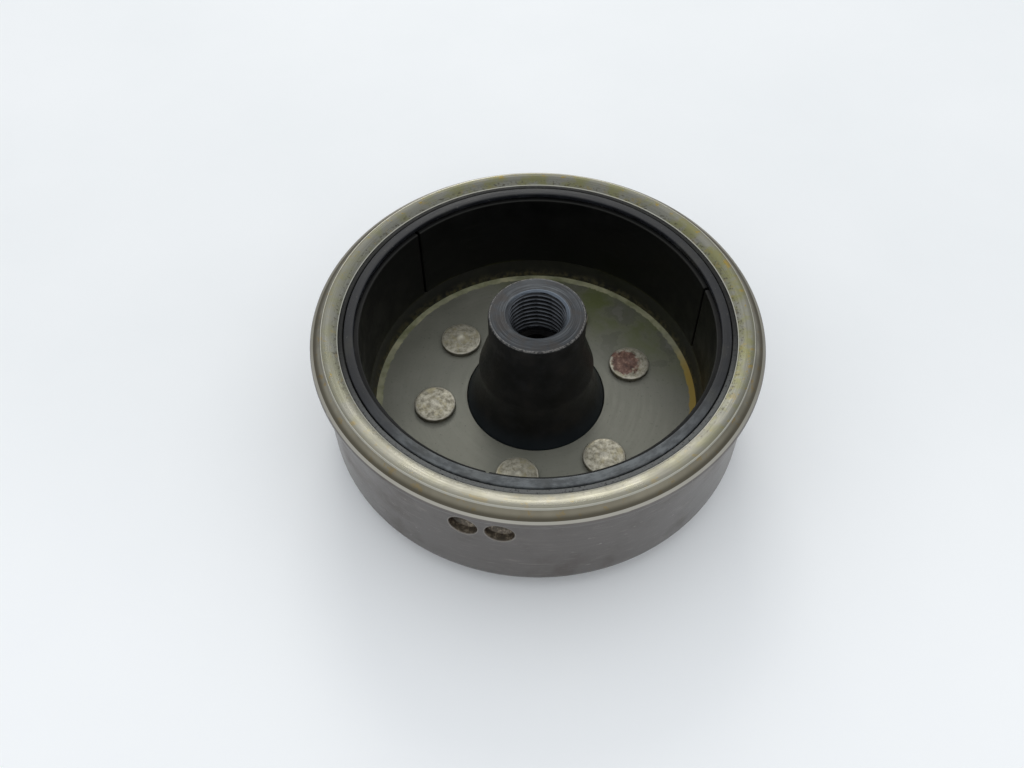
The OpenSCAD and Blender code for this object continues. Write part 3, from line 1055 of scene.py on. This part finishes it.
gloss = oxide.math("SUBTRACT", gloss, oxide.times(in_thread, 0.1))
metal = oxide.plus(oxide.times(on_end, 0.35), oxide.times(in_thread, 0.45))
metal = oxide.math("ADD", metal, 0.35, clamp=True)
relief = oxide.bump((rings, 0.4, 40), (grain, 0.25, 40))
tangent = oxide.add("Tangent", direction_type="RADIAL", axis="Z")
black_oxide = oxide.feed(
    Base_Color=tone, Metallic=metal, Roughness=gloss, Normal=relief, Tangent=tangent
)
paint(hub_forging, black_oxide)

# %% [markdown]
# ## Rivet heads
#
# The rivets are pale bare steel, pitted and stained where oil dried on them. Their pattern
# must differ from head to head, and it does by itself, because it reads the position in the
# part. One head has rusted through its film, so it gets more rust than the others.


# %% Rivet finishes
def rivet_finish(name, centre, rust_amount):
    """Pale steel with a finish of its own: rings about the head's middle, pits, stains and rust."""
    finish = Finish(name, Coat_Weight=0.08, Coat_Roughness=0.25)
    spot, x, y, z, r, round_ = finish.place()
    here = finish.add("VectorMath", spot, (*centre, 0), operation="SUBTRACT")
    flat = finish.add("VectorMath", here, (1, 1, 0), operation="MULTIPLY")
    away = finish.add("VectorMath", flat, operation="LENGTH", out=1)
    mottle = finish.noise(spot, 0.75, 5.0, 0.68, 0.6)
    pits = finish.noise(spot, 2.6, 3.0, 0.7)
    stain = finish.noise(spot, 0.3, 4.0, 0.6, 0.8)
    outwards = finish.add("CombineXYZ", finish.times(away, 3.2), 0.0, 0.0)
    rings = finish.noise(outwards, 1.0, 2.0)
    tone = finish.ramp(
        mottle,
        (0.36, (0.20, 0.182, 0.130)),
        (0.5, (0.375, 0.35, 0.275)),
        (0.62, (0.52, 0.49, 0.395)),
    )
    tone = finish.tint(tone, stain, 0.47, 0.62, 0.65, (0.37, 0.325, 0.19))
    tone = finish.tint(tone, rings, 0.5, 0.7, 0.4, (0.54, 0.52, 0.44))
    tone = finish.tint(tone, away, 1.9, 0.4, 0.5, (0.62, 0.59, 0.50))
    tone = finish.tint(tone, pits, 0.6, 0.72, 0.65, (0.12, 0.105, 0.08))
    # the rounded rim of the head is pale, partly wear and partly a painted highlight
    edge = finish.within(away, HEAD_R - 0.45, HEAD_R - 0.2, 0.1)
    tone = finish.over(tone, edge, 0.45, (0.60, 0.57, 0.48))
    # painted shade: the head's side darkens below its top
    tone = finish.tint(tone, z, RIVET_TOP_Z - 0.35, RIVET_TOP_Z - 0.6, 0.7, (0.09, 0.085, 0.07))
    metal = finish.step(mottle, 0.3, 0.7, 0.45, 0.75)
    if rust_amount:
        aside = finish.add("VectorMath", flat, (-1.3, 0.2, 0), operation="SUBTRACT")
        aside = finish.add("VectorMath", aside, operation="LENGTH", out=1)
        wander = finish.times(finish.noise(spot, 0.45, 4.0, 0.7), 5.5)
        ragged = finish.plus(aside, wander)
        patch = finish.step(ragged, 7.2, 6.4, 0.0, rust_amount)
        scale = finish.ramp(
            mottle,
            (0.36, (0.055, 0.018, 0.012)),
            (0.50, (0.13, 0.045, 0.03)),
            (0.62, (0.24, 0.115, 0.075)),
            (0.72, (0.42, 0.33, 0.24)),
        )
        tone = finish.mix(patch, tone, scale)
        bare = finish.math("SUBTRACT", 1.0, finish.times(patch, 0.8))
        metal = finish.times(metal, bare)
    gloss = finish.step(mottle, 0.3, 0.7, 0.52, 0.38)
    relief = finish.bump((mottle, 0.35, 50), (pits, 0.35, 50))
    return finish.feed(Base_Color=tone, Metallic=metal, Roughness=gloss, Normal=relief)


for number, (angle, rivet) in enumerate(zip(RIVET_ANGLES, rivets), 1):
    a = math.radians(angle)
    centre = (PITCH_CIRCLE_R * math.cos(a), PITCH_CIRCLE_R * math.sin(a))
    paint(rivet, rivet_finish(f"rivet_steel_{number}", centre, 0.9 if number == 1 else 0.0))

# %% [markdown]
# ## Magnet coating
#
# The magnets are satin black, almost without colour, dusted with tiny light specks and
# dragged dull along the lathe's direction. Oil has crept a little way up from the seat.

# %% Magnet finish
coat = Finish("magnet_coating", Metallic=0.0, Specular_IOR_Level=0.14)
spot, x, y, z, r, round_ = coat.place()
cloud = coat.noise(spot, 0.12, 4.0, 0.6, 0.3)
dust = coat.noise(spot, 3.5, 2.0, 0.6)
drag = coat.lines(round_, z, 4.0, 0.9, 4.0, 0.6)
tone = coat.ramp(cloud, (0.3, (0.0014, 0.0014, 0.0014)), (0.7, (0.0036, 0.0036, 0.0034)))
tone = coat.tint(tone, drag, 0.55, 0.75, 0.5, (0.008, 0.008, 0.0075))
tone = coat.tint(tone, dust, 0.72, 0.76, 0.55, (0.065, 0.065, 0.06))
film = coat.both(coat.step(z, 13.2, 12.2), coat.step(cloud, 0.42, 0.6))
tone = coat.over(tone, film, 0.6, (0.055, 0.055, 0.022))
# painted highlight: a light line along the magnets' top inner edge
top_edge_highlight = coat.both(coat.step(z, 35.9, 36.15), coat.step(r, 45.45, 45.25))
tone = coat.over(tone, top_edge_highlight, 0.5, (0.022, 0.022, 0.019))
gloss = coat.step(cloud, 0.3, 0.7, 0.36, 0.55)
relief = coat.bump((drag, 0.25, 40), (dust, 0.2, 30))
coating = coat.feed(Base_Color=tone, Roughness=gloss, Normal=relief)
for magnet in magnets:
    paint(magnet, coating)

# %% [markdown]
# ## Seat, ring and resin
#
# Three more blacks, each different. The seat holds an oily yellow film in its hollow. The
# ring on top is grey-blue in patches on its near side, partly scuffs and partly painted
# light. The resin beside it is rough with grit from the turning, and painted light makes it
# grey on the same side.

# %% Finishes of the seat and the rings
oily = Finish("seat_plastic", Metallic=0.0, Coat_Weight=0.2, Coat_Roughness=0.25)
spot, x, y, z, r, round_ = oily.place()
cloud = oily.noise(spot, 0.1, 4.0, 0.6, 0.5)
grime = oily.noise(spot, 0.8, 4.0, 0.65)
tone = oily.ramp(cloud, (0.35, (0.004, 0.004, 0.0035)), (0.7, (0.014, 0.014, 0.008)))
film = oily.both(oily.step(z, 9.4, 6.9), oily.step(grime, 0.4, 0.62))
tone = oily.over(tone, film, 0.7, (0.075, 0.065, 0.022))
gloss = oily.step(grime, 0.3, 0.7, 0.28, 0.5)
relief = oily.bump((grime, 0.3, 60))
paint(seat, oily.feed(Base_Color=tone, Roughness=gloss, Normal=relief))

scuffed = Finish("ring_coating", Metallic=0.0, Specular_IOR_Level=0.32)
spot, x, y, z, r, round_ = scuffed.place()
rub = scuffed.lines(round_, r, 7.0, 2.4, 5.0, 0.68)
chip = scuffed.noise(spot, 1.3, 4.0, 0.7)
cloud = scuffed.noise(spot, 0.09, 3.0, 0.6)
tone = scuffed.ramp(
    rub,
    (0.35, (0.004, 0.0042, 0.0055)),
    (0.6, (0.009, 0.010, 0.013)),
    (0.75, (0.030, 0.032, 0.036)),
)
patches = scuffed.lines(round_, r, 9.0, 0.5, 5.0, 0.72)
front = scuffed.along(round_, 0.1, -1.0)
# scuffed patches on the near side, lightened further by painted light
wear_and_highlight = scuffed.both(scuffed.step(front, 0.4, 0.95), scuffed.step(patches, 0.40, 0.62, 0.4, 0.9))
tone = scuffed.mix(wear_and_highlight, tone, (0.14, 0.152, 0.158, 1))
tone = scuffed.tint(tone, chip, 0.64, 0.70, 0.6, (0.14, 0.135, 0.12))
tone = scuffed.tint(tone, cloud, 0.5, 0.7, 0.3, (0.04, 0.038, 0.026))
gloss = scuffed.step(rub, 0.3, 0.75, 0.34, 0.55)
relief = scuffed.bump((chip, 0.35, 80), (rub, 0.3, 50))
paint(retainer, scuffed.feed(Base_Color=tone, Roughness=gloss, Normal=relief))

resin = Finish("seal_resin", Metallic=0.0, Specular_IOR_Level=0.15)
spot, x, y, z, r, round_ = resin.place()
swell = resin.noise(spot, 0.35, 3.0, 0.6, 0.5)
grit = resin.noise(spot, 1.9, 3.0, 0.7)
tone = resin.ramp(swell, (0.35, (0.005, 0.005, 0.005)), (0.7, (0.016, 0.016, 0.014)))
front = resin.along(round_, 0.1, -1.0)
tone = resin.tint(tone, grit, 0.58, 0.68, 0.6, (0.055, 0.054, 0.045))
# painted light: the resin is paler on its near side
tone = resin.tint(tone, front, 0.0, 0.8, 0.85, (0.14, 0.143, 0.14))
tone = resin.tint(tone, grit, 0.44, 0.36, 0.8, (0.004, 0.004, 0.004))
gloss = resin.step(swell, 0.3, 0.7, 0.35, 0.55)
relief = resin.bump((swell, 0.4, 120), (grit, 0.4, 60))
paint(seal, resin.feed(Base_Color=tone, Roughness=gloss, Normal=relief))
print("finishes:", sorted(m.name for m in bpy.data.materials if m.users))

# %% [markdown]
# ## Stage, camera and light
#
# The part lies on a pale table under a soft, slightly blue sky light and one warm window
# beyond it. The table is paler towards the near side, painted light that lifts the shade
# there. The camera looks down at a little over fifty degrees from about thirty centimetres
# away, so near things look large. It is placed by its position and its three directions.

# %% Stage
table_mesh = bpy.data.meshes.new("table_top")
half = 1.6
corners = [(-half, -half, 0), (half, -half, 0), (half, half, 0), (-half, half, 0)]
table_mesh.from_pydata(corners, [], [(0, 1, 2, 3)])
table = bpy.data.objects.new("table_top", table_mesh)
bpy.context.scene.collection.objects.link(table)
top = Finish("pale_table", Roughness=0.6)
spot, x, y, z, r, round_ = top.place()
mottle = top.noise(spot, 0.012, 4.0)
# painted light: the table is paler towards the near side
painted_light_share = top.step(y, 40.0, -85.0)
tone = top.ramp(mottle, (0.3, (0.855, 0.875, 0.89)), (0.7, (0.89, 0.905, 0.92)))
pale = top.ramp(mottle, (0.3, (0.94, 0.955, 0.975)), (0.7, (0.96, 0.975, 0.99)))
tone = top.mix(painted_light_share, tone, pale)
paint(table, top.feed(Base_Color=tone))

world = bpy.data.worlds.new("soft_sky")
world.use_nodes = True
sky = world.node_tree.nodes["Background"]
sky.inputs["Color"].default_value = (0.955, 0.98, 1.0, 1)
sky.inputs["Strength"].default_value = 0.90
bpy.context.scene.world = world
bpy.context.scene.view_settings.view_transform = "Standard"


def soft_light(name, place, size, watts, colour):
    """A square area light that faces the part's middle."""
    light = bpy.data.lights.new(name, "AREA")
    light.size, light.energy, light.color = size, watts, colour
    lamp = bpy.data.objects.new(name, light)
    bpy.context.scene.collection.objects.link(lamp)
    turn = (-Vector(place)).to_track_quat("-Z", "Y").to_matrix().to_4x4()
    lamp.matrix_world = Matrix.Translation(place) @ turn
    return lamp


soft_light("window", (-0.15, 1.65, 1.16), 0.7, 6.5, (1.0, 0.98, 0.93))

# %% Camera
camera = bpy.data.cameras.new("camera")
camera.sensor_width = 36
camera.lens = 34.31
camera.clip_start = 0.005
CAMERA_PLACE = (0, -0.15926, 0.22557)
eye = bpy.data.objects.new("camera", camera)
bpy.context.scene.collection.objects.link(eye)
right = Vector((0.99948, 0.03127, -0.00723))
up = Vector((-0.02082, 0.80323, 0.59530))
back = right.cross(up).normalized()
up = back.cross(right).normalized()
facing = Matrix((right.normalized(), up, back)).transposed().to_4x4()
eye.matrix_world = Matrix.Translation(CAMERA_PLACE) @ facing
bpy.context.scene.camera = eye
